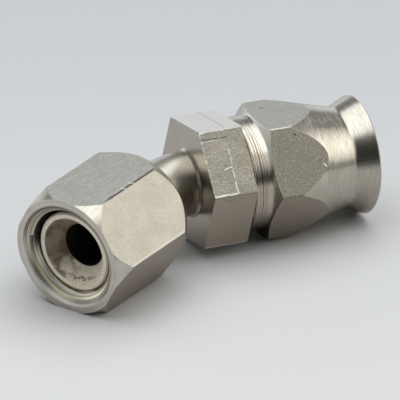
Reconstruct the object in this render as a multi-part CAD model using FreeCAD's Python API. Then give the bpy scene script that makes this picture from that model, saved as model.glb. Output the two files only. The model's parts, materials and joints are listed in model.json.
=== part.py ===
# Swivel hose end: a bent tube carries a loose hex nut over a turned seat at one end, and at the
# other a hex adapter whose tail takes the hose. A screwed socket grips the hose over the tail.
# The part lies on its side as it comes to rest: +Z is up, the socket's axis points along +X and
# the bend turns the nut towards -Y. The origin is below the middle of the part, on the surface
# that it lies on. Lengths are millimetres and angles are degrees.
import FreeCAD, Part
import math
import os

V = FreeCAD.Vector
ORIGIN = V(0, 0, 0)
X_AXIS = V(1, 0, 0)
Z_AXIS = V(0, 0, 1)

# Hexagonal bar: the nut, the adapter and the socket are cut from the same stock
hex_flats = 17.4625
hex_edge_break = 0.16

# Bent tube, from the seat to inside the adapter
tube_od = 9.525
tube_bore = 6.65
bend_angle = 30.0
bend_radius = 8.3
straight_before_adapter = 0.12
tube_in_adapter = 4.5
nut_face_to_bend_corner = 25.3

# Seat turned for the mating cone, brazed on the tube's end inside the nut
seat_setback = 1.6
seat_nose_od = 12.16
seat_rim_od = 10.5
seat_half_angle = 37.0
seat_nose_length = 4.6
seat_shoulder_od = 12.6
seat_shoulder_length = 2.2
seat_edge_break = 0.25
tube_in_seat = 3.0

# Swivel nut
nut_length = 17.3
nut_face_od = 17.8
nut_front_taper = 24.8
nut_back_od = 17.2
nut_back_taper = 30.0
nut_thread_major = 14.29
nut_thread_depth = 12.4
nut_mouth_od = 15.7
nut_mouth_taper = 45.0
nut_shoulder_taper = 60.0
nut_running_clearance = 0.09

# Hex adapter: the hex, a male thread, a land for the olive and a tail for the hose
adapter_hex_length = 6.74
adapter_end_break = 0.12
adapter_roll = 10.8
braze_fillet = 0.35
relief_od = 12.6
relief_length = 1.3
socket_thread_od = 14.0
male_thread_end = 13.2
male_thread_chamfer = 0.6
olive_land_od = 8.4
olive_land_end = 17.8
tail_od = 7.9
tail_end = 22.0
tail_bore = 6.0
tail_tip_break = 0.5

# Olive: a flanged ring that slides on the land and wedges under the hose's braid
olive_start = 13.55
olive_flange_clearance = 0.38
olive_flange_length = 0.7
olive_length = 3.8
olive_shank_od = 10.9
olive_tip_od = 9.7
olive_running_clearance = 0.05

# Socket: collar, hex, tapered barrel and flared mouth, turned from one bar
socket_gap = 0.22
collar_od = 16.9
collar_edge_break = 0.3
socket_corner_start = 10.7
socket_hex_chamfer = 25.0
barrel_taper = 15.0
valley_x = 23.6
valley_od = 14.9
valley_radius = 0.8
bell_end = 26.9
bell_od = 17.4
lip_break = 0.25
thread_clearance = 0.08
socket_thread_end = 14.5
hose_bore_od = 12.3
hose_bore_taper = 30.0
bell_mouth_od = 16.1
bell_mouth_depth = 3.3

# Rounds of settling that find which way the part lies
settling_rounds = 20

# Values that follow from the sizes above
hex_corner_r = hex_flats / 2.0 / math.cos(math.radians(30.0))
tool_overrun = 1.0
turning_r = hex_corner_r + tool_overrun
tangent_length = bend_radius * math.tan(math.radians(bend_angle / 2.0))
bend_corner = V(-tangent_length - straight_before_adapter, 0, 0)
nut_dir = V(math.cos(math.radians(bend_angle)), math.sin(math.radians(bend_angle)), 0)
nut_face = bend_corner - nut_dir * nut_face_to_bend_corner
seat_depth = (seat_rim_od - tube_bore) / 2.0 / math.tan(math.radians(seat_half_angle))
seat_back = seat_setback + seat_nose_length + seat_shoulder_length
socket_start = adapter_hex_length + socket_gap
socket_thread_r = socket_thread_od / 2.0 + thread_clearance


def tan(angle):
    return math.tan(math.radians(angle))


def line(start, end):
    return Part.LineSegment(start, end).toShape()


def polyline(points):
    """Edges through (x, radius) points."""
    corners = [V(x, r, 0) for x, r in points]
    return [line(a, b) for a, b in zip(corners[:-1], corners[1:])]


def revolve_edges(edges):
    """Turn a closed outline of edges about the X axis."""
    return Part.Face(Part.Wire(edges)).revolve(ORIGIN, X_AXIS, 360.0)


def revolve(points):
    """Turn a closed outline of (x, radius) points about the X axis."""
    return revolve_edges(polyline(points + points[:1]))


def rounding(before, corner, after, radius):
    """Start, middle and end of the arc that rounds the corner between two straight lines."""
    back = (before - corner).normalize()
    ahead = (after - corner).normalize()
    half = back.getAngle(ahead) / 2.0
    reach = radius / math.tan(half)
    inward = (back + ahead).normalize()
    middle = corner + inward * (radius / math.sin(half) - radius)
    return corner + back * reach, middle, corner + ahead * reach


def hex_bar(start, end, roll):
    """Hexagonal bar along X with lightly broken edges. One corner is at the angle roll, counted
    from -Z towards +Y."""
    corners = []
    for k in range(7):
        turn = math.radians(roll + 60.0 * k)
        corners.append(V(start, hex_corner_r * math.sin(turn), -hex_corner_r * math.cos(turn)))
    bar = Part.Face(Part.makePolygon(corners)).extrude(X_AXIS * (end - start))
    long_edges = [e for e in bar.Edges if abs(e.tangentAt(e.FirstParameter).x) > 0.99]
    return bar.makeFillet(hex_edge_break, long_edges)


def on_nut_axis(shape):
    """Move a shape made along X, with x = 0 at the nut's face, onto the nut's axis."""
    placed = shape.copy()
    placed.rotate(ORIGIN, Z_AXIS, bend_angle)
    placed.translate(nut_face)
    return placed


def swept_rod(diameter, nut_end, adapter_end):
    """Round rod along the tube's path, from nut_end on the nut's axis to adapter_end on X."""
    first = nut_face + nut_dir * nut_end
    last = X_AXIS * adapter_end
    bend = rounding(first, bend_corner, last, bend_radius)
    path = Part.Wire([line(first, bend[0]), Part.Arc(*bend).toShape(), line(bend[2], last)])
    section = Part.Wire(Part.makeCircle(diameter / 2.0, first, nut_dir))
    return path.makePipeShell([section], True, True)


def make_elbow_tube():
    nut_end = seat_back - tube_in_seat
    outer = swept_rod(tube_od, nut_end, tube_in_adapter)
    return outer.cut(swept_rod(tube_bore, nut_end, tube_in_adapter))


def make_seat_nose():
    nose_r = seat_nose_od / 2.0
    shoulder_r = seat_shoulder_od / 2.0
    shoulder_x = seat_setback + seat_nose_length
    return on_nut_axis(revolve([
        (seat_setback, seat_rim_od / 2.0),
        (seat_setback, nose_r - seat_edge_break),
        (seat_setback + seat_edge_break, nose_r),
        (shoulder_x, nose_r),
        (shoulder_x, shoulder_r),
        (seat_back, shoulder_r),
        (seat_back, tube_od / 2.0),
        (seat_back - tube_in_seat, tube_od / 2.0),
        (seat_back - tube_in_seat, tube_bore / 2.0),
        (seat_setback + seat_depth, tube_bore / 2.0),
    ]))


def make_swivel_nut(roll):
    face_r = nut_face_od / 2.0
    back_r = nut_back_od / 2.0
    outside = revolve([
        (0.0, 0.0),
        (0.0, face_r),
        ((turning_r - face_r) / tan(nut_front_taper), turning_r),
        (nut_length - (turning_r - back_r) / tan(nut_back_taper), turning_r),
        (nut_length, back_r),
        (nut_length, 0.0),
    ])
    thread_r = nut_thread_major / 2.0
    mouth_r = nut_mouth_od / 2.0
    hole_r = tube_od / 2.0 + nut_running_clearance
    shoulder = (thread_r - hole_r) / tan(nut_shoulder_taper)
    inside = revolve([
        (-tool_overrun, 0.0),
        (-tool_overrun, mouth_r),
        (0.0, mouth_r),
        ((mouth_r - thread_r) / tan(nut_mouth_taper), thread_r),
        (nut_thread_depth, thread_r),
        (nut_thread_depth + shoulder, hole_r),
        (nut_length + tool_overrun, hole_r),
        (nut_length + tool_overrun, 0.0),
    ])
    nut = hex_bar(0.0, nut_length, roll + 30.0).common(outside).cut(inside)
    return on_nut_axis(nut)


def make_hex_adapter():
    tube_r = tube_od / 2.0
    bore_r = tail_bore / 2.0
    thread_r = socket_thread_od / 2.0
    land_r = olive_land_od / 2.0
    tail_r = tail_od / 2.0
    edge_r = hex_corner_r - adapter_end_break
    edge_run = turning_r - edge_r
    relief_end = adapter_hex_length + relief_length
    outside = revolve([
        (-braze_fillet, 0.0),
        (-braze_fillet, tube_r),
        (0.0, tube_r + braze_fillet),
        (0.0, edge_r),
        (edge_run, turning_r),
        (adapter_hex_length - edge_run, turning_r),
        (adapter_hex_length, edge_r),
        (adapter_hex_length, relief_od / 2.0),
        (relief_end, relief_od / 2.0),
        (relief_end + male_thread_chamfer, thread_r),
        (male_thread_end - male_thread_chamfer, thread_r),
        (male_thread_end, thread_r - male_thread_chamfer),
        (male_thread_end, land_r),
        (olive_land_end, land_r),
        (olive_land_end, tail_r),
        (tail_end - tail_tip_break, tail_r),
        (tail_end, tail_r - tail_tip_break),
        (tail_end, 0.0),
    ])
    passage = revolve([
        (-braze_fillet - tool_overrun, 0.0),
        (-braze_fillet - tool_overrun, tube_r),
        (tube_in_adapter, tube_r),
        (tube_in_adapter, bore_r),
        (tail_end + tool_overrun, bore_r),
        (tail_end + tool_overrun, 0.0),
    ])
    bar = hex_bar(-braze_fillet, tail_end, adapter_roll)
    return bar.common(outside).cut(passage)


def make_olive():
    hole_r = olive_land_od / 2.0 + olive_running_clearance
    flange_r = socket_thread_r - olive_flange_clearance
    shank_r = olive_shank_od / 2.0
    flange_end = olive_start + olive_flange_length
    end = olive_start + olive_length
    return revolve([
        (olive_start, hole_r),
        (olive_start, flange_r),
        (flange_end, flange_r),
        (flange_end, shank_r),
        (end, olive_tip_od / 2.0),
        (end, hole_r),
    ])


def barrel_outline():
    """Edges of the socket's back: the cone that cuts the hex, the valley and the flare."""
    valley = V(valley_x, valley_od / 2.0, 0)
    cone_top = V(valley_x - (turning_r - valley.y) / tan(barrel_taper), turning_r, 0)
    bell_r = bell_od / 2.0
    lip = V(bell_end - lip_break, bell_r, 0)
    turn = rounding(cone_top, valley, lip, valley_radius)
    start = V(socket_start, 0, 0)
    end = V(bell_end, 0, 0)
    return [
        line(start, V(socket_start, turning_r, 0)),
        line(V(socket_start, turning_r, 0), cone_top),
        line(cone_top, turn[0]),
        Part.Arc(*turn).toShape(),
        line(turn[2], lip),
        line(lip, V(bell_end, bell_r - lip_break, 0)),
        line(V(bell_end, bell_r - lip_break, 0), end),
        line(end, start),
    ]


def make_socket(roll):
    """Collar, hex, barrel and bell, turned in one piece from the hexagonal bar."""
    collar_r = collar_od / 2.0
    collar_end = socket_corner_start - (hex_corner_r - collar_r) * tan(socket_hex_chamfer)
    front = revolve([
        (socket_start, 0.0),
        (socket_start, collar_r - collar_edge_break),
        (socket_start + collar_edge_break, collar_r),
        (collar_end, collar_r),
        (collar_end + (turning_r - collar_r) * tan(socket_hex_chamfer), turning_r),
        (bell_end, turning_r),
        (bell_end, 0.0),
    ])
    back = revolve_edges(barrel_outline())
    bore_r = hose_bore_od / 2.0
    mouth_r = bell_mouth_od / 2.0
    inside = revolve([
        (socket_start - tool_overrun, 0.0),
        (socket_start - tool_overrun, socket_thread_r),
        (socket_thread_end, socket_thread_r),
        (socket_thread_end + (socket_thread_r - bore_r) / tan(hose_bore_taper), bore_r),
        (bell_end - bell_mouth_depth, bore_r),
        (bell_end, mouth_r),
        (bell_end + tool_overrun, mouth_r),
        (bell_end + tool_overrun, 0.0),
    ])
    bar = hex_bar(socket_start, bell_end, roll + 30.0)
    return bar.common(front).common(back).cut(inside)


def roll_to(axis, down):
    """Turn about an axis that takes straight down to the given direction, seen along the axis."""
    across = down - axis * down.dot(axis)
    return math.degrees(math.atan2(across.dot(axis.cross(-Z_AXIS)), -across.z))


def across_axis(axis, down):
    """Unit direction square to an axis that points as far down as it can."""
    across = down - axis * down.dot(axis)
    return across.normalize()


def resting_down():
    """The direction that faces the surface when the part lies on the nut's front edge, the
    adapter's back corner and the bell's rim."""
    spin = math.radians(adapter_roll)
    break_r = hex_corner_r - hex_edge_break / math.cos(math.radians(30.0))
    break_x = adapter_hex_length - adapter_end_break
    break_centre = V(break_x, break_r * math.sin(spin), -break_r * math.cos(spin))
    down = -Z_AXIS
    for settling in range(settling_rounds):
        corner = break_centre + down * hex_edge_break
        edge = nut_face + across_axis(nut_dir, down) * (hex_flats / 2.0)
        rim = X_AXIS * (bell_end - lip_break) + across_axis(X_AXIS, down) * (bell_od / 2.0)
        down = (rim - edge).cross(corner - edge).normalize()
        if down.z > 0:
            down = -down
    return down


def main():
    """Write each piece, and return where the part's frame was laid down."""
    os.makedirs("parts", exist_ok=True)
    down = resting_down()
    parts = {
        "elbow_tube": make_elbow_tube(),
        "seat_nose": make_seat_nose(),
        "swivel_nut": make_swivel_nut(roll_to(nut_dir, down)),
        "hex_adapter": make_hex_adapter(),
        "olive": make_olive(),
        "socket": make_socket(roll_to(X_AXIS, down)),
    }
    lie = FreeCAD.Placement(ORIGIN, FreeCAD.Rotation(down, -Z_AXIS))
    box = FreeCAD.BoundBox()
    for shape in parts.values():
        shape.Placement = lie.multiply(shape.Placement)
        box.add(shape.optimalBoundingBox(True))
    lie.Base = V(-box.Center.x, -box.Center.y, -box.ZMin)
    for name, shape in parts.items():
        solid = shape.Solids[0]
        solid.translate(lie.Base)
        solid.exportStep(os.path.join("parts", name + ".step"))
        print(name, len(shape.Solids), solid.isValid(), round(solid.Volume, 2))
    return lie


main()
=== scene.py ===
import json
import math

import bpy
from mathutils import Matrix, Vector


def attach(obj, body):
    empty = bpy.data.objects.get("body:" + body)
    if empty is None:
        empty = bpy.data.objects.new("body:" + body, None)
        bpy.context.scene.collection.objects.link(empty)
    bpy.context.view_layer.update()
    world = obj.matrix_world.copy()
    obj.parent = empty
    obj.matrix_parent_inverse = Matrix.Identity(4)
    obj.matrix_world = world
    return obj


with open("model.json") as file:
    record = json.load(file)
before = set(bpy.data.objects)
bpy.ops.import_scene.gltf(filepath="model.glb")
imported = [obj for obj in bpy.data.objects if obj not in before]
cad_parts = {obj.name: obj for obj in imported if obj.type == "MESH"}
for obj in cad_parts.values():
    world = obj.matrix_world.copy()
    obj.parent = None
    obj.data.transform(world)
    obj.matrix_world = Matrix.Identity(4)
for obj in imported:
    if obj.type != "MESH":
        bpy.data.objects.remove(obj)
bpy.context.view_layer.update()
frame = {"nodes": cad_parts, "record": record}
MM = 0.001

# The two axes of the bent fitting, and the direction square to both, which points up
mounts = {mount["name"]: mount for mount in frame["record"]["mounts"]}
BODY_AXIS = Vector(mounts["hose_socket"]["axis"]).normalized()
NUT_AXIS = -Vector(mounts["swivel_thread"]["axis"]).normalized()
NUT_FACE = Vector(mounts["swivel_thread"]["pos_m"])
SOCKET_LENGTH = 26.9 * MM
HEX_FACE = Vector(mounts["hose_socket"]["pos_m"]) - BODY_AXIS * SOCKET_LENGTH
BEND_NORMAL = BODY_AXIS.cross(NUT_AXIS).normalized()

# Hexagons, in mm and degrees
HEX_FLATS = 17.4625
NUT_ROLL = -8.8
ADAPTER_ROLL = 40.8
SOCKET_ROLL = -8.87

# Where the corners of the hexagons meet their cones, and each cone's length for 1 mm of radius
NUT_FRONT_CORNER = 2.56
NUT_FRONT_SLOPE = 1 / math.tan(math.radians(24.8))
NUT_BACK_CORNER = 14.73
NUT_BACK_SLOPE = 1 / math.tan(math.radians(30))
SOCKET_BACK_CORNER = 13.78
SOCKET_BACK_SLOPE = 1 / math.tan(math.radians(15))

# The nut's thread, in mm, measured from its face
THREAD_PITCH = 25.4 / 18
THREAD_MAJOR = 14.29
THREAD_MINOR = 12.9
THREAD_START = 0.65
THREAD_END = 11.6
MOUTH_RADIUS = 7.85
NUT_HOLLOW_END = 14.0

# Other sizes that the materials follow, in mm
SEAT_RIM_RADIUS = 5.25
TUBE_BORE_RADIUS = 3.325
COLLAR_RADIUS = 8.45
SOCKET_VALLEY = 23.6

# The adapter's thread, in mm, measured from its hex's face; the socket hides it at rest
MALE_PITCH = 25.4 / 24
MALE_START = 8.1
MALE_END = 13.1

# Camera: a long lens, nearly parallel rays, looking down at the part from the nut's side
CAMERA_AIM = Vector((0.00192997, 0.00339406, 0.00748625))
CAMERA_BACK = Vector((-0.35069, -0.82530, 0.44260))
CAMERA_DISTANCE = 1.86835
CAMERA_ROLL = math.radians(-1.08)
LENS_MM = 1165.41

# The metals' own colours, what wear and grime leave of them, and colours that paint light and shade onto
# them
NICKEL = (0.56, 0.53, 0.465)
NICKEL_DULL = (0.49, 0.46, 0.395)
NICKEL_GREEN = (0.50, 0.49, 0.445)
# Painted shade: the darker colour of the low flats, and of the socket's turned surfaces on their lower
# front side
NICKEL_SHADED = (0.36, 0.315, 0.26)
# Painted shade on the adapter's turned face
FACE_SHADED = (0.34, 0.29, 0.235)
NICKEL_PITTED = (0.315, 0.295, 0.25)
NICKEL_SANDY = (0.36, 0.335, 0.285)
# Painted reflection and highlight: the pale top flat of the adapter and the lit top of the socket's
# chamfer
NICKEL_LIT = (0.80, 0.785, 0.745)
# Burrs and scratches, and painted highlights along edges
BURR_AND_GLINT = (0.92, 0.90, 0.84)
SEAT_DULL = (0.95, 0.87, 0.70)
# Painted shade on the upper side of the seat's cone
SEAT_SHADED = (0.17, 0.14, 0.095)
# Stains and streaks, and painted shade in the grooves of the adapter's thread and the socket's collar
STAIN_AND_SHADE = (0.16, 0.105, 0.06)
# Painted shade: black inside the bores and deep in the nut's thread
SHADE_BLACK = (0.02, 0.018, 0.015)
# Dark marks of scratches and burrs, and painted shade under the socket's collar
GRIME_AND_SHADE = (0.07, 0.055, 0.045)
BRASS = (0.72, 0.58, 0.32)

# The floor in front of the part and behind it, the back darker as painted shade, and what the metal
# mirrors of the studio
FLOOR_FRONT = (0.76, 0.755, 0.76)
FLOOR_BACK = (0.535, 0.545, 0.565)
BACKDROP = (1.0, 1.03, 1.07)
ROOM_GLOW = (0.78, 0.78, 0.75)
ROOM_DIM = (0.16, 0.16, 0.16)
ROOM_DARK = (0.02, 0.02, 0.02)


class Graph:
    """The node tree of a material or a world, with short calls that add a node and return its output."""

    def __init__(self, owner):
        owner.use_nodes = True
        self.owner = owner
        self.tree = owner.node_tree
        self.coordinates = self.tree.nodes.new("ShaderNodeTexCoord")
        self.point = self.vector("SCALE", self.coordinates.outputs["Object"], scale=1 / MM)
        self.normal = self.coordinates.outputs["Normal"]

    def put(self, socket, value):
        """Links another node's output to a socket, or sets the socket's own value."""
        if isinstance(value, bpy.types.NodeSocket):
            self.tree.links.new(value, socket)
        elif value is not None:
            socket.default_value = value

    def math(self, operation, a, b=None, c=None, clamp=False):
        node = self.tree.nodes.new("ShaderNodeMath")
        node.operation = operation
        node.use_clamp = clamp
        for socket, value in zip(node.inputs, (a, b, c)):
            self.put(socket, value)
        return node.outputs[0]

    def times(self, product, *others):
        """The product of all the values."""
        for value in others:
            product = self.math("MULTIPLY", product, value)
        return product

    def vector(self, operation, a, b=None, scale=None):
        node = self.tree.nodes.new("ShaderNodeVectorMath")
        node.operation = operation
        self.put(node.inputs[0], a)
        self.put(node.inputs[1], b)
        self.put(node.inputs[3], scale)
        return node.outputs["Value" if operation in ("DOT_PRODUCT", "LENGTH", "DISTANCE") else "Vector"]

    def combine(self, x, y, z=0.0):
        node = self.tree.nodes.new("ShaderNodeCombineXYZ")
        for socket, value in zip(node.inputs, (x, y, z)):
            self.put(socket, value)
        return node.outputs[0]

    def step(self, value, low, high):
        """0 below low and 1 above high, smooth between them. It falls where low is the larger."""
        node = self.tree.nodes.new("ShaderNodeMapRange")
        node.interpolation_type = "SMOOTHSTEP"
        self.put(node.inputs["Value"], value)
        falls = low > high
        node.inputs["From Min"].default_value = min(low, high)
        node.inputs["From Max"].default_value = max(low, high)
        node.inputs["To Min"].default_value = float(falls)
        node.inputs["To Max"].default_value = float(not falls)
        return node.outputs["Result"]

    def noise(self, point, size, detail=2.0, rough=0.5):
        """Noise from about 0 to 1 whose spots are size mm wide."""
        node = self.tree.nodes.new("ShaderNodeTexNoise")
        self.put(node.inputs["Vector"], point)
        node.inputs["Scale"].default_value = 1 / size
        node.inputs["Detail"].default_value = detail
        node.inputs["Roughness"].default_value = rough
        return node.outputs["Fac"]

    def lines(self, along, size, detail=3.0):
        """Noise that changes along one length only: the grooves that a turning tool leaves."""
        node = self.tree.nodes.new("ShaderNodeTexNoise")
        node.noise_dimensions = "1D"
        self.put(node.inputs["W"], along)
        node.inputs["Scale"].default_value = 1 / size
        node.inputs["Detail"].default_value = detail
        node.inputs["Roughness"].default_value = 0.6
        return node.outputs["Fac"]

    def mix(self, factor, a, b):
        """The colour a where the factor is 0, and b where it is 1."""
        node = self.tree.nodes.new("ShaderNodeMix")
        node.data_type = "RGBA"
        self.put(node.inputs["Factor"], factor)
        self.put(node.inputs["A"], colour(a))
        self.put(node.inputs["B"], colour(b))
        return node.outputs["Result"]

    def blend(self, factor, a, b):
        """The same for two numbers."""
        node = self.tree.nodes.new("ShaderNodeMix")
        self.put(node.inputs["Factor"], factor)
        self.put(node.inputs["A"], a)
        self.put(node.inputs["B"], b)
        return node.outputs["Result"]

    def vary(self, base, fac, amount):
        """The colour made darker and lighter where fac, a noise, is below and above its middle."""
        swing = self.math("MULTIPLY_ADD", self.step(fac, 0.3, 0.7), 2.0, -1.0)
        return self.vector("SCALE", base, scale=self.math("MULTIPLY_ADD", swing, amount, 1.0))

    def finish(self, base, roughness, height, metallic=1.0):
        """Joins colour, roughness and height in mm to the material's shader."""
        shader = self.tree.nodes["Principled BSDF"]
        self.put(shader.inputs["Base Color"], colour(base))
        self.put(shader.inputs["Roughness"], roughness)
        self.put(shader.inputs["Metallic"], metallic)
        bump = self.tree.nodes.new("ShaderNodeBump")
        bump.inputs["Distance"].default_value = MM
        self.put(bump.inputs["Height"], height)
        self.put(shader.inputs["Normal"], bump.outputs["Normal"])
        return self.owner


def new_graph(name):
    """The graph of a new material."""
    return Graph(bpy.data.materials.new(name))


def colour(value):
    """A colour as a socket takes it, with its alpha. Any other value stays as it is."""
    return (*value, 1.0) if isinstance(value, tuple) and len(value) == 3 else value


class Turned:
    """Where a point lies on a piece with a round axis: how far along it, how far out and at what angle."""

    def __init__(self, graph, origin, axis):
        side = BEND_NORMAL.cross(axis).normalized()
        down = -BEND_NORMAL
        self.graph = graph
        self.offset = graph.vector("SUBTRACT", graph.point, tuple(origin / MM))
        self.along = graph.vector("DOT_PRODUCT", self.offset, tuple(axis))
        self.to_side = graph.vector("DOT_PRODUCT", self.offset, tuple(side))
        self.to_down = graph.vector("DOT_PRODUCT", self.offset, tuple(down))
        self.radius = graph.vector("LENGTH", graph.combine(self.to_side, self.to_down))
        self.angle = graph.math("ARCTAN2", self.to_side, self.to_down)
        # 0 where the surface runs along the axis and 1 on an end face
        self.lean = graph.math("ABSOLUTE", graph.vector("DOT_PRODUCT", graph.normal, tuple(axis)))
        self.upright = graph.step(self.lean, 0.12, 0.08)
        self.end_face = graph.step(self.lean, 0.93, 0.97)
        spoke = graph.vector("NORMALIZE", graph.combine(self.to_side, self.to_down))
        self.spoke = graph.vector("SCALE", spoke, scale=9.0)

    def between(self, value, low, high, soft=0.05):
        """1 where a length lies between two others, in mm."""
        g = self.graph
        return g.times(g.step(value, low - soft, low + soft), g.step(value, high + soft, high - soft))

    def facing(self, angle, spread):
        """1 round the side that lies at an angle from the underside, counted towards +Y in degrees."""
        g = self.graph
        cosine = g.math("COSINE", g.math("SUBTRACT", self.angle, math.radians(angle)))
        return g.step(cosine, math.cos(math.radians(spread)), math.cos(math.radians(spread / 2)))

    def rings(self, size, detail=3.0):
        """Noise of tool marks round the axis: rings on an end face, elsewhere turns along the length."""
        g = self.graph
        return g.lines(g.blend(self.end_face, self.along, self.radius), size, detail)

    def brushed(self, size, length):
        """Noise of short strokes round the axis: size mm wide and length times as long."""
        g = self.graph
        place = g.blend(self.end_face, self.along, self.radius)
        along = g.combine(0.0, 0.0, place)
        round_axis = g.vector("SCALE", self.spoke, scale=1 / length)
        return g.noise(g.vector("ADD", round_axis, along), size, 4.0, 0.7)


class Hex(Turned):
    """The same on a hexagon bar, with the place on each flat."""

    def __init__(self, graph, origin, axis, roll):
        super().__init__(graph, origin, axis)
        sixth = math.radians(60)
        turned = graph.math("SUBTRACT", self.angle, math.radians(roll - 30))
        self.in_flat = graph.math("SUBTRACT", graph.math("FLOORED_MODULO", turned, sixth), sixth / 2)
        self.across = graph.math("MULTIPLY", self.radius, graph.math("SINE", self.in_flat))
        self.outward = graph.math("MULTIPLY", self.radius, graph.math("COSINE", self.in_flat))
        proud = graph.step(self.outward, HEX_FLATS / 2 - 0.12, HEX_FLATS / 2 - 0.06)
        self.flat = graph.math("MULTIPLY", self.upright, proud)
        self.roll = roll
        self.bright = 0.0
        self.dark = 0.0
        shake = graph.math("SUBTRACT", graph.noise(graph.point, 0.7, 3.0), 0.5)
        self.along_rough = graph.math("MULTIPLY_ADD", shake, 0.5, self.along)
        self.across_rough = graph.math("MULTIPLY_ADD", shake, 0.4, self.across)

    def only(self, number):
        """1 on one flat: 0 is the one that faces down, and the rest follow, first the ones towards +Y."""
        g = self.graph
        middle = math.radians(self.roll + 60 * number)
        cosine = g.math("COSINE", g.math("SUBTRACT", self.angle, middle))
        return g.step(cosine, math.cos(math.radians(30.5)), math.cos(math.radians(29.5)))

    def edge(self, side, width):
        """1 beside one long edge of the flats: side is -1 or 1, and width is in mm."""
        g = self.graph
        limit = HEX_FLATS / 2 * math.tan(math.radians(30))
        inside = g.math("MULTIPLY_ADD", self.across, -side, limit)
        return g.step(inside, width, width * 0.4)

    def rim(self, at_corner, slope, side):
        """How far inside its curved end a point of a flat lies, in mm.

        at_corner is where a corner of the bar meets the cone, slope the cone's length for each mm of
        radius, and side is 1 for the front end and -1 for the back end.
        """
        g = self.graph
        reach = g.combine(self.across, HEX_FLATS / 2)
        short = g.math("SUBTRACT", HEX_FLATS / 2 / math.cos(math.radians(30)), g.vector("LENGTH", reach))
        end = g.math("MULTIPLY_ADD", short, -side * slope, at_corner)
        return g.times(g.math("SUBTRACT", self.along, end), side)

    def scratch(self, number, start, end, width, straight=True):
        """1 along a scratch on one flat, between two points given as along and across in mm."""
        g = self.graph
        along, across = (self.along, self.across) if straight else (self.along_rough, self.across_rough)
        here = g.combine(along, across)
        run = Vector((*end, 0)) - Vector((*start, 0))
        offset = g.vector("SUBTRACT", here, (*start, 0))
        travel = g.vector("DOT_PRODUCT", offset, tuple(run))
        share = g.math("MULTIPLY", travel, 1 / run.length_squared, clamp=True)
        nearest = g.vector("SCALE", tuple(run), scale=share)
        distance = g.vector("DISTANCE", offset, nearest)
        return g.times(g.step(distance, width / 2, width / 5), self.only(number))

    def add_bright(self, mask):
        self.bright = self.graph.math("MAXIMUM", self.bright, mask)

    def add_dark(self, mask):
        self.dark = self.graph.math("MAXIMUM", self.dark, mask)

    def finish(self, base, roughness, height, painted_highlight=0.0):
        """Lays the burrs, scratches and painted edge highlights of the flats, and a further painted
        highlight, over the metal.
        """
        g = self.graph
        bright = g.math("MAXIMUM", g.times(self.bright, self.flat), painted_highlight)
        dark = g.times(self.dark, self.flat)
        base = g.mix(g.times(dark, 0.8), base, GRIME_AND_SHADE)
        base = g.mix(g.times(bright, 0.9), base, BURR_AND_GLINT)
        roughness = g.blend(bright, roughness, 0.5)
        metallic = g.math("MULTIPLY_ADD", bright, -0.65, 1.0)
        height = g.math("MULTIPLY_ADD", bright, 0.03, height)
        height = g.math("MULTIPLY_ADD", dark, -0.03, height)
        return g.finish(base, roughness, height, metallic)


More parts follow.
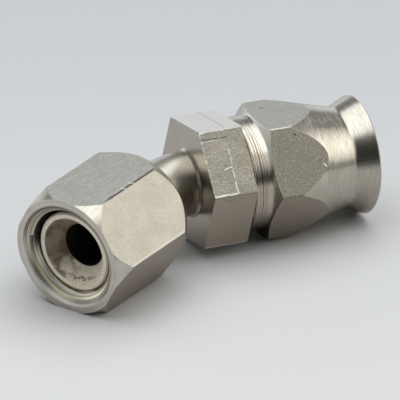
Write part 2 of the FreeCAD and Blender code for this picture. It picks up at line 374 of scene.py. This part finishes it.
def nut_material():
    """Matte mottled flats, the low one darker as painted shade and the right one with painted highlights
    along its edge and arcs, lathe rings on the face, brushed cones, a painted highlight on the mouth's
    lower edge, and a dull, streaky thread, black deep inside as painted shade and pale on its underside as
    painted light.
    """
    g = new_graph("plated nut")
    h = Hex(g, NUT_FACE, NUT_AXIS, NUT_ROLL)
    grain = g.noise(g.point, 0.22, 3.0, 0.7)
    strokes = g.noise(g.combine(g.times(h.along, 0.4), h.across, h.outward), 0.5, 4.0, 0.7)
    cloud = g.noise(g.point, 3.0, 3.0)
    within_mouth = g.step(h.radius, MOUTH_RADIUS + 0.1, MOUTH_RADIUS - 0.05)
    inside = g.times(within_mouth, g.step(h.along, NUT_HOLLOW_END + 0.2, NUT_HOLLOW_END))
    top_flat, right_flat, low_flat = 3, 4, 5
    top, right, low = h.only(top_flat), h.only(right_flat), h.only(low_flat)
    base = g.mix(g.step(cloud, 0.3, 0.7), NICKEL, NICKEL_DULL)
    base = g.mix(g.times(h.flat, top), base, NICKEL_GREEN)
    # Painted shade: the low flat darker
    base = g.mix(g.times(h.flat, low), base, NICKEL_SHADED)
    flat_base = g.vary(g.vary(base, grain, 0.11), strokes, g.math("MULTIPLY_ADD", top, 0.09, 0.03))
    cone_base = g.vary(base, g.noise(h.spoke, 0.12, 3.0, 0.7), 0.14)
    ring_base = g.vary(base, h.rings(0.3), 0.12)
    turned_base = g.mix(h.end_face, cone_base, ring_base)
    underside = h.facing(0, 85)
    # Painted shade: the thread black beyond its first turns except on the underside; painted light: the
    # flanks pale on the underside
    deep = g.times(g.step(h.along, 1.0, 1.7), g.math("SUBTRACT", 1.0, underside))
    crest_base = g.mix(deep, SEAT_DULL, SHADE_BLACK)
    flank_base = g.mix(deep, g.mix(underside, NICKEL, SEAT_DULL), SHADE_BLACK)
    off_crest = g.step(h.radius, THREAD_MINOR / 2 + 0.03, THREAD_MINOR / 2 + 0.15)
    thread_base = g.mix(off_crest, crest_base, flank_base)
    thread_base = g.vary(thread_base, g.lines(h.along, 0.22, 2.0), 0.5)
    streaks = g.times(g.step(g.lines(h.along, 0.17, 2.0), 0.44, 0.56), 0.8)
    sunk_base = g.mix(streaks, NICKEL, STAIN_AND_SHADE)
    countersunk = g.step(h.radius, THREAD_MAJOR / 2 + 0.015, THREAD_MAJOR / 2 + 0.075)
    bore_base = g.mix(countersunk, thread_base, sunk_base)
    turned_base = g.mix(inside, turned_base, bore_base)
    base = g.mix(h.flat, turned_base, flat_base)
    front = h.rim(NUT_FRONT_CORNER, NUT_FRONT_SLOPE, 1)
    back = h.rim(NUT_BACK_CORNER, NUT_BACK_SLOPE, -1)
    # Painted highlights along the right flat's curved ends and along one long edge
    h.add_bright(g.times(right, h.between(front, 0.0, 0.12), 0.8))
    h.add_bright(g.times(right, h.between(back, 0.0, 0.12), 0.8))
    h.add_bright(g.times(right, h.edge(1, 0.5), 0.45))
    jagged = g.step(h.across_rough, 4.45, 4.62)
    h.add_dark(g.times(top, jagged, g.step(h.along, 2.6, 5.0)))
    h.add_bright(h.scratch(top_flat, (7.7, 4.3), (8.2, 5.1), 0.22))
    h.add_bright(h.scratch(top_flat, (9.7, 4.2), (10.1, 5.1), 0.22))
    h.add_bright(g.times(h.scratch(right_flat, (5.2, -5.0), (5.6, -4.4), 0.22), 0.8))
    h.add_dark(g.times(low, h.edge(-1, 0.16), 0.4))
    # Painted highlight on the mouth's inner edge, on its lower side
    lip = g.times(h.between(h.radius, 7.55, 8.0, 0.1), g.step(h.along, 0.45, 0.3))
    painted_highlight = g.times(lip, h.facing(15, 85), 0.85)
    rough = g.blend(h.flat, g.blend(inside, 0.30, 0.42), 0.42)
    turned_height = g.times(h.rings(0.14), g.blend(inside, 0.012, 0.03))
    height = g.blend(h.flat, turned_height, g.times(grain, 0.03))
    return h.finish(base, rough, height, painted_highlight)


def adapter_material():
    """A smooth turned face with painted shade, a top flat painted pale as a painted reflection, a hammered
    front flat, a low one darker as painted shade with a painted highlight along one edge, and a thread
    with painted shade in its grooves.
    """
    g = new_graph("plated adapter")
    h = Hex(g, HEX_FACE, BODY_AXIS, ADAPTER_ROLL)
    fine = g.noise(g.point, 0.2, 3.0, 0.6)
    coarse = g.noise(g.point, 0.22, 4.0, 0.7)
    cloud = g.noise(g.point, 3.0, 3.0)
    top_flat, front_flat, low_flat = 2, 3, 4
    top, front, low = h.only(top_flat), h.only(front_flat), h.only(low_flat)
    face = g.times(h.end_face, g.step(h.along, 1.0, 0.5))
    base = g.mix(g.step(cloud, 0.3, 0.7), NICKEL, NICKEL_DULL)
    # Painted reflection: the top flat painted pale
    base = g.mix(g.times(h.flat, top), base, NICKEL_LIT)
    # Painted shade: the low flat darker
    base = g.mix(g.times(h.flat, low), base, NICKEL_SHADED)
    base = g.vary(base, fine, 0.07)
    pitted = g.vary(g.vary(NICKEL_PITTED, coarse, 0.32), cloud, 0.08)
    base = g.mix(g.times(h.flat, front), base, pitted)
    # Painted shade on the turned face, heavier towards its lower front side
    face_shade = g.math("MULTIPLY_ADD", h.facing(-50, 100), 0.5, 0.5)
    base = g.mix(g.times(face, face_shade), base, FACE_SHADED)
    specks = g.times(front, g.step(g.noise(g.point, 0.35, 4.0, 0.75), 0.60, 0.70))
    h.add_bright(g.times(specks, 0.6))
    broken = g.step(g.noise(g.point, 0.6, 3.0, 0.7), 0.46, 0.56)
    h.add_dark(g.times(h.scratch(top_flat, (4.35, -5.0), (4.3, 4.6), 0.16), 0.7))
    h.add_dark(h.scratch(front_flat, (0.05, -3.75), (4.1, -3.7), 0.22))
    h.add_bright(g.times(h.scratch(front_flat, (0.05, -3.5), (2.2, -3.5), 0.16), 0.6))
    h.add_bright(h.scratch(front_flat, (0.0, -4.97), (6.7, -4.97), 0.5, straight=False))
    h.add_bright(h.scratch(front_flat, (0.1, -4.9), (0.5, -4.85), 0.6))
    h.add_bright(h.scratch(front_flat, (2.57, 1.06), (3.8, 0.75), 0.22))
    line = h.scratch(front_flat, (3.9, -2.6), (3.7, 3.4), 0.3, straight=False)
    h.add_bright(g.times(line, broken, 0.8))
    h.add_bright(h.scratch(front_flat, (3.7, 3.3), (3.7, 4.6), 0.3, straight=False))
    h.add_bright(h.scratch(front_flat, (0.0, 4.85), (3.6, 4.8), 0.36, straight=False))
    h.add_bright(g.times(front, g.step(h.along_rough, 0.2, 0.05), broken))
    h.add_dark(g.times(low, h.edge(-1, 0.22), 0.7))
    h.add_dark(g.times(h.scratch(low_flat, (1.3, -4.1), (4.6, -4.3), 0.2), broken, 0.7))
    # Painted highlight along one long edge of the low flat
    h.add_bright(g.times(low, h.edge(1, 0.4), 0.35))
    advance = g.math("MULTIPLY_ADD", h.angle, -MALE_PITCH / math.tau, h.along)
    ridge = g.math("PINGPONG", advance, MALE_PITCH / 2)
    thread = g.times(h.between(h.along, MALE_START, MALE_END), h.between(h.radius, 6.9, 7.1))
    # Painted shade in the thread's grooves
    groove = g.times(thread, g.step(ridge, 0.30, 0.05))
    base = g.mix(g.times(groove, 0.6), base, STAIN_AND_SHADE)
    rough = g.blend(h.flat, 0.24, g.blend(front, 0.40, 0.34))
    grain = g.blend(front, g.times(fine, 0.008), g.times(coarse, 0.08))
    height = g.blend(h.flat, g.times(h.rings(0.16), 0.008), grain)
    height = g.math("MULTIPLY_ADD", g.times(ridge, thread), 0.9, height)
    return h.finish(base, rough, height)


def socket_material():
    """Grooved collar with painted shade in its cuts and under it, sandy flats with a low one darker as
    painted shade and a painted highlight on the front one's back arc, a satin turned barrel and a brushed
    bell, all turned surfaces darker on their lower front side as painted shade, and a painted highlight on
    the chamfer's top.
    """
    g = new_graph("plated socket")
    h = Hex(g, HEX_FACE, BODY_AXIS, SOCKET_ROLL)
    grain = g.noise(g.point, 0.25, 4.0, 0.75)
    cloud = g.noise(g.point, 3.0, 3.0)
    strokes = h.brushed(0.13, 14.0)
    top_flat, front_flat, low_flat = 3, 4, 5
    top, front, low = h.only(top_flat), h.only(front_flat), h.only(low_flat)
    bell = g.step(h.along, SOCKET_VALLEY - 0.6, SOCKET_VALLEY - 0.2)
    outside = g.step(h.radius, 7.2, 7.4)
    collar = g.step(h.radius, COLLAR_RADIUS + 0.05, COLLAR_RADIUS + 0.01)
    collar = g.times(collar, g.step(h.along, 10.2, 10.0))
    shoulder = g.times(h.between(h.lean, 0.5, 0.95, 0.03), h.between(h.along, 9.9, 10.9))
    base = g.mix(g.step(cloud, 0.3, 0.7), NICKEL, NICKEL_DULL)
    # Painted shade: the collar, barrel and bell darker on their lower front side
    turned_base = g.mix(g.times(h.facing(-60, 60), 0.6), base, NICKEL_SHADED)
    # Painted highlight: the top of the chamfer pale
    turned_base = g.mix(g.times(shoulder, h.facing(-160, 70)), turned_base, NICKEL_LIT)
    # Painted shade under the collar and chamfer, in the gap between the two hexagons
    collar_shade = g.times(g.math("MAXIMUM", collar, shoulder), h.facing(-15, 70))
    turned_base = g.mix(g.times(collar_shade, 0.9), turned_base, GRIME_AND_SHADE)
    turned_base = g.vary(turned_base, strokes, 0.16)
    # Painted shade in the collar's cut grooves on its near side
    cut = g.step(g.lines(h.along, 0.24, 1.0), 0.50, 0.56)
    cut = g.times(cut, h.between(h.along, 7.1, 8.9, 0.2), h.facing(-122, 60))
    turned_base = g.mix(g.times(cut, collar, 0.8), turned_base, STAIN_AND_SHADE)
    base = g.mix(g.times(h.flat, top), base, NICKEL_GREEN)
    base = g.mix(g.times(h.flat, front), base, NICKEL_SANDY)
    # Painted shade: the low flat darker
    base = g.mix(g.times(h.flat, low), base, NICKEL_SHADED)
    base = g.mix(h.flat, turned_base, g.vary(base, grain, 0.26))
    back = h.rim(SOCKET_BACK_CORNER, SOCKET_BACK_SLOPE, -1)
    upper = g.step(h.across, 1.5, -1.5)
    # Painted highlight along the upper part of the front flat's curved back end
    arc = g.times(front, upper, h.between(back, 0.0, 0.1))
    h.add_bright(g.times(arc, 0.6))
    h.add_bright(h.scratch(top_flat, (10.9, 4.85), (14.0, 4.9), 0.34))
    h.add_bright(h.scratch(front_flat, (17.9, 1.0), (18.2, 1.4), 0.3))
    h.add_dark(g.times(front, h.edge(1, 0.2), 0.7))
    pits = g.step(g.noise(g.point, 0.6, 2.0, 0.6), 0.30, 0.24)
    h.add_dark(g.times(pits, 0.5))
    h.add_dark(h.scratch(top_flat, (12.4, -2.6), (12.6, -2.3), 0.4))
    h.add_dark(h.scratch(front_flat, (14.1, -3.9), (14.3, -3.8), 0.35))
    specks = g.times(front, g.step(g.noise(g.point, 0.3, 4.0, 0.75), 0.60, 0.70))
    h.add_bright(g.times(specks, 0.5))
    rough = g.blend(h.flat, g.blend(bell, 0.23, 0.27), 0.42)
    turned_height = g.times(h.rings(0.12), g.blend(bell, 0.014, 0.008))
    turned_height = g.math("MULTIPLY_ADD", strokes, 0.005, turned_height)
    broad = g.times(g.lines(h.along, 0.4, 2.0), g.times(collar, outside))
    turned_height = g.math("MULTIPLY_ADD", broad, 0.06, turned_height)
    height = g.blend(h.flat, turned_height, g.times(grain, 0.045))
    # Painted highlight on the top of the chamfer
    painted_highlight = g.times(shoulder, h.facing(-160, 36), 0.8)
    return h.finish(base, rough, height, painted_highlight)


def seat_material():
    """Dull and stained where the cone seals, with dark burr marks near the rim on its lower side, the
    cone's upper side darker as painted shade and the bore black as painted shade.
    """
    g = new_graph("dull seat")
    t = Turned(g, NUT_FACE, NUT_AXIS)
    stain = g.noise(g.point, 1.5, 3.0, 0.55)
    grain = g.noise(g.point, 0.25, 3.0)
    cone = g.times(g.step(t.radius, SEAT_RIM_RADIUS, SEAT_RIM_RADIUS - 0.1), g.step(t.lean, 0.3, 0.4))
    within_bore = g.step(t.radius, TUBE_BORE_RADIUS + 0.095, TUBE_BORE_RADIUS + 0.035)
    bore = g.times(within_bore, g.step(t.lean, 0.3, 0.2))
    base = g.vary(SEAT_DULL, grain, 0.12)
    # Painted shade on the cone's upper side
    base = g.mix(g.times(t.facing(125, 115), g.times(cone, 0.85)), base, SEAT_SHADED)
    patches = g.times(g.step(stain, 0.40, 0.64), t.facing(75, 90))
    base = g.mix(g.times(patches, cone, 0.85), base, STAIN_AND_SHADE)
    wander = g.math("SUBTRACT", g.noise(g.point, 0.5, 4.0, 0.7), 0.5)
    burr_at = g.math("MULTIPLY_ADD", wander, 1.5, t.radius)
    burr = g.times(t.between(burr_at, 4.55, 4.70, 0.06), t.facing(-20, 42))
    base = g.mix(g.times(burr, cone, 0.9), base, GRIME_AND_SHADE)
    # Painted shade: the bore black
    base = g.mix(bore, base, SHADE_BLACK)
    rough = g.blend(cone, 0.40, 0.52)
    height = g.math("MULTIPLY_ADD", t.rings(0.14), 0.006, g.times(grain, 0.02))
    height = g.math("MULTIPLY_ADD", burr, -0.04, height)
    return g.finish(base, rough, height, g.blend(bore, 0.12, 0.0))


def tube_material():
    """Satin outside, with streaks from drawing and bending, and black inside as painted shade."""
    g = new_graph("satin tube")
    t = Turned(g, NUT_FACE, NUT_AXIS)
    drawn = g.noise(g.point, 0.8, 2.0)
    fine = g.noise(g.point, 0.25, 3.0, 0.7)
    within_bore = g.step(t.radius, TUBE_BORE_RADIUS + 0.095, TUBE_BORE_RADIUS + 0.035)
    # Painted shade: the bore black
    dark = g.times(within_bore, g.step(t.along, 22.0, 20.0))
    base = g.vary(g.mix(drawn, NICKEL, NICKEL_DULL), fine, 0.08)
    base = g.mix(dark, base, SHADE_BLACK)
    height = g.math("MULTIPLY_ADD", fine, 0.006, g.times(drawn, 0.01))
    return g.finish(base, 0.32, height, g.blend(dark, 1.0, 0.0))


def olive_material():
    g = new_graph("turned olive")
    t = Turned(g, HEX_FACE, BODY_AXIS)
    return g.finish(BRASS, 0.3, g.times(t.rings(0.15), 0.006))


def make_nut_thread():
    """The ridge of the female thread: a helix that the countersink cuts and that fades at the bottom."""
    # Points in one turn, and how far the ridge's foot lies inside the nut's metal
    steps = 72
    sunk = 0.03
    reach = THREAD_PITCH * 7 / 16
    crest = THREAD_PITCH / 8
    profile = [-reach + 2 * reach * i / 10 for i in range(11)]
    root_radius = THREAD_MAJOR / 2 + sunk
    ridge = root_radius - THREAD_MINOR / 2
    count = int((THREAD_END - THREAD_START) / THREAD_PITCH * steps)
    first = BEND_NORMAL.cross(NUT_AXIS).normalized()
    second = NUT_AXIS.cross(first)
    points = []
    for i in range(count + 1):
        turn = 2 * math.pi * i / steps
        out = first * math.cos(turn) + second * math.sin(turn)
        middle = THREAD_START + THREAD_PITCH * i / steps
        fade = min(1.0, (count - i) / (steps / 3))
        for place in profile:
            along = middle + place
            depth = min(1.0, (reach - abs(place)) / (reach - crest))
            radius = max(root_radius - ridge * depth * fade, MOUTH_RADIUS - along + sunk)
            points.append((NUT_FACE + (NUT_AXIS * along + out * radius) * MM)[:])
    faces = []
    row = len(profile)
    for i in range(count):
        for k in range(row - 1):
            a = row * i + k
            faces.append((a, a + 1, a + row + 1, a + row))
    faces += [tuple(reversed(range(row))), tuple(row * count + k for k in range(row))]
    mesh = bpy.data.meshes.new("nut_thread")
    mesh.from_pydata(points, [], faces)
    mesh.shade_smooth()
    mesh.set_sharp_from_angle(angle=math.radians(35))
    thread = bpy.data.objects.new("nut_thread", mesh)
    bpy.context.scene.collection.objects.link(thread)
    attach(thread, "nut")
    return thread


def make_camera():
    data = bpy.data.cameras.new("camera")
    data.lens = LENS_MM
    data.clip_end = 10.0
    camera = bpy.data.objects.new("camera", data)
    back = CAMERA_BACK.normalized()
    right = Vector((0, 0, 1)).cross(back).normalized()
    turn = Matrix((right, back.cross(right), back)).transposed()
    turn = turn @ Matrix.Rotation(CAMERA_ROLL, 3, "Z")
    place = Matrix.Translation(CAMERA_AIM + back * CAMERA_DISTANCE)
    camera.matrix_world = place @ turn.to_4x4()
    bpy.context.scene.collection.objects.link(camera)
    bpy.context.scene.camera = camera


def make_floor():
    half = 0.4
    mesh = bpy.data.meshes.new("floor")
    corners = [(-half, -half, 0), (half, -half, 0), (half, half, 0), (-half, half, 0)]
    mesh.from_pydata(corners, [], [(0, 1, 2, 3)])
    floor = bpy.data.objects.new("floor", mesh)
    bpy.context.scene.collection.objects.link(floor)
    g = new_graph("floor")
    # Painted shade: the floor darker towards the back and lighter in front
    shade = g.step(g.vector("DOT_PRODUCT", g.point, tuple(toward(55, 0))), -110.0, 110.0)
    mesh.materials.append(g.finish(g.mix(shade, FLOOR_FRONT, FLOOR_BACK), 0.6, 0.0, metallic=0.0))


def toward(azimuth, elevation, distance=1.0):
    """The point that lies in a direction from the part, in degrees counted from +X."""
    flat = math.cos(math.radians(elevation)) * distance
    turn = math.radians(azimuth)
    return Vector((math.cos(turn) * flat, math.sin(turn) * flat,
                   math.sin(math.radians(elevation)) * distance))


def make_light(name, place, size, radiance, tint):
    """A soft rectangular lamp that faces the part and looks as bright as radiance."""
    data = bpy.data.lights.new(name, "AREA")
    data.shape = "RECTANGLE"
    data.size, data.size_y = size
    data.color = tint
    data.energy = radiance * math.pi * size[0] * size[1]
    light = bpy.data.objects.new(name, data)
    light.matrix_world = Matrix.Translation(place) @ place.to_track_quat("Z", "Y").to_matrix().to_4x4()
    bpy.context.scene.collection.objects.link(light)


def make_world():
    """A studio: a pale backdrop low behind the part, a dim room with a glow between the lamps, and
    dark towards the camera."""
    world = bpy.data.worlds.new("world")
    bpy.context.scene.world = world
    g = Graph(world)
    direction = g.coordinates.outputs["Generated"]
    height = g.vector("DOT_PRODUCT", direction, (0, 0, 1))
    behind = g.vector("DOT_PRODUCT", direction, tuple(toward(100, 0)))
    before = g.vector("DOT_PRODUCT", direction, tuple(toward(-100, 12)))
    between = g.vector("DOT_PRODUCT", direction, tuple(toward(-45, 50)))
    low = g.step(height, 0.38, 0.18)
    pale = g.times(low, g.step(behind, -0.2, 0.4))
    dark = g.step(before, 0.25, 0.65)
    room = g.mix(dark, ROOM_DIM, ROOM_DARK)
    glow = g.mix(g.step(between, math.cos(math.radians(42)), math.cos(math.radians(10))), room, ROOM_GLOW)
    shown = g.mix(pale, glow, BACKDROP)
    background = g.tree.nodes["Background"]
    g.put(background.inputs["Color"], shown)
    background.inputs["Strength"].default_value = 1.0


MATERIALS = {
    "swivel_nut": nut_material,
    "hex_adapter": adapter_material,
    "socket": socket_material,
    "seat_nose": seat_material,
    "elbow_tube": tube_material,
    "olive": olive_material,
}

bpy.context.scene.view_settings.view_transform = "Standard"
make_camera()
make_floor()
make_world()
make_light("overhead", Vector((0.01, 0.08, 0.5)), size=(0.76, 0.72), radiance=1.85, tint=(0.96, 0.99, 1.0))
make_light("right", toward(-16.0, 24.0, 0.5), size=(0.43, 0.32), radiance=1.4, tint=(1.0, 0.97, 0.90))
for node, make_material in MATERIALS.items():
    frame["nodes"][node].material_slots[0].material = make_material()
make_nut_thread().data.materials.append(frame["nodes"]["swivel_nut"].active_material)
